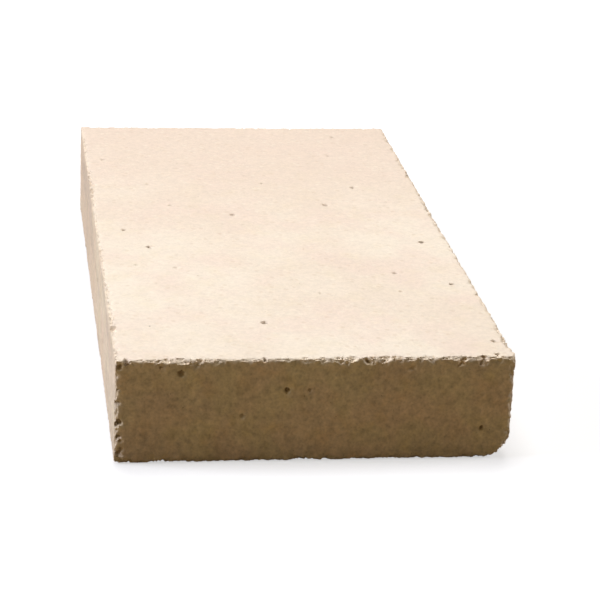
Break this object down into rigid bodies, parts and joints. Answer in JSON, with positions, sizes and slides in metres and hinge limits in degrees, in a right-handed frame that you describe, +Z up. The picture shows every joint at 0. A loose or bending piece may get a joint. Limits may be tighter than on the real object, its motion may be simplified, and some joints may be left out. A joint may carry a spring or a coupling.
{
  "type": "refractory firebrick",
  "caption": "Thin rectangular fireclay firebrick split with flat beds and nearly square arrises, for lining stoves, hearths and kilns.",
  "frame": {"origin": "centre of the lower bed, on the floor", "axes": "+X along the length, +Y across the width towards the rounded lower arris, +Z up through the thickness"},
  "size_m": [0.2286, 0.1142, 0.0318],
  "materials": {
    "fireclay": "matte, fine sandy fired clay with small open pores"
  },
  "bodies": {
    "root": {"firebrick": "fireclay"}
  },
  "joints": []
}
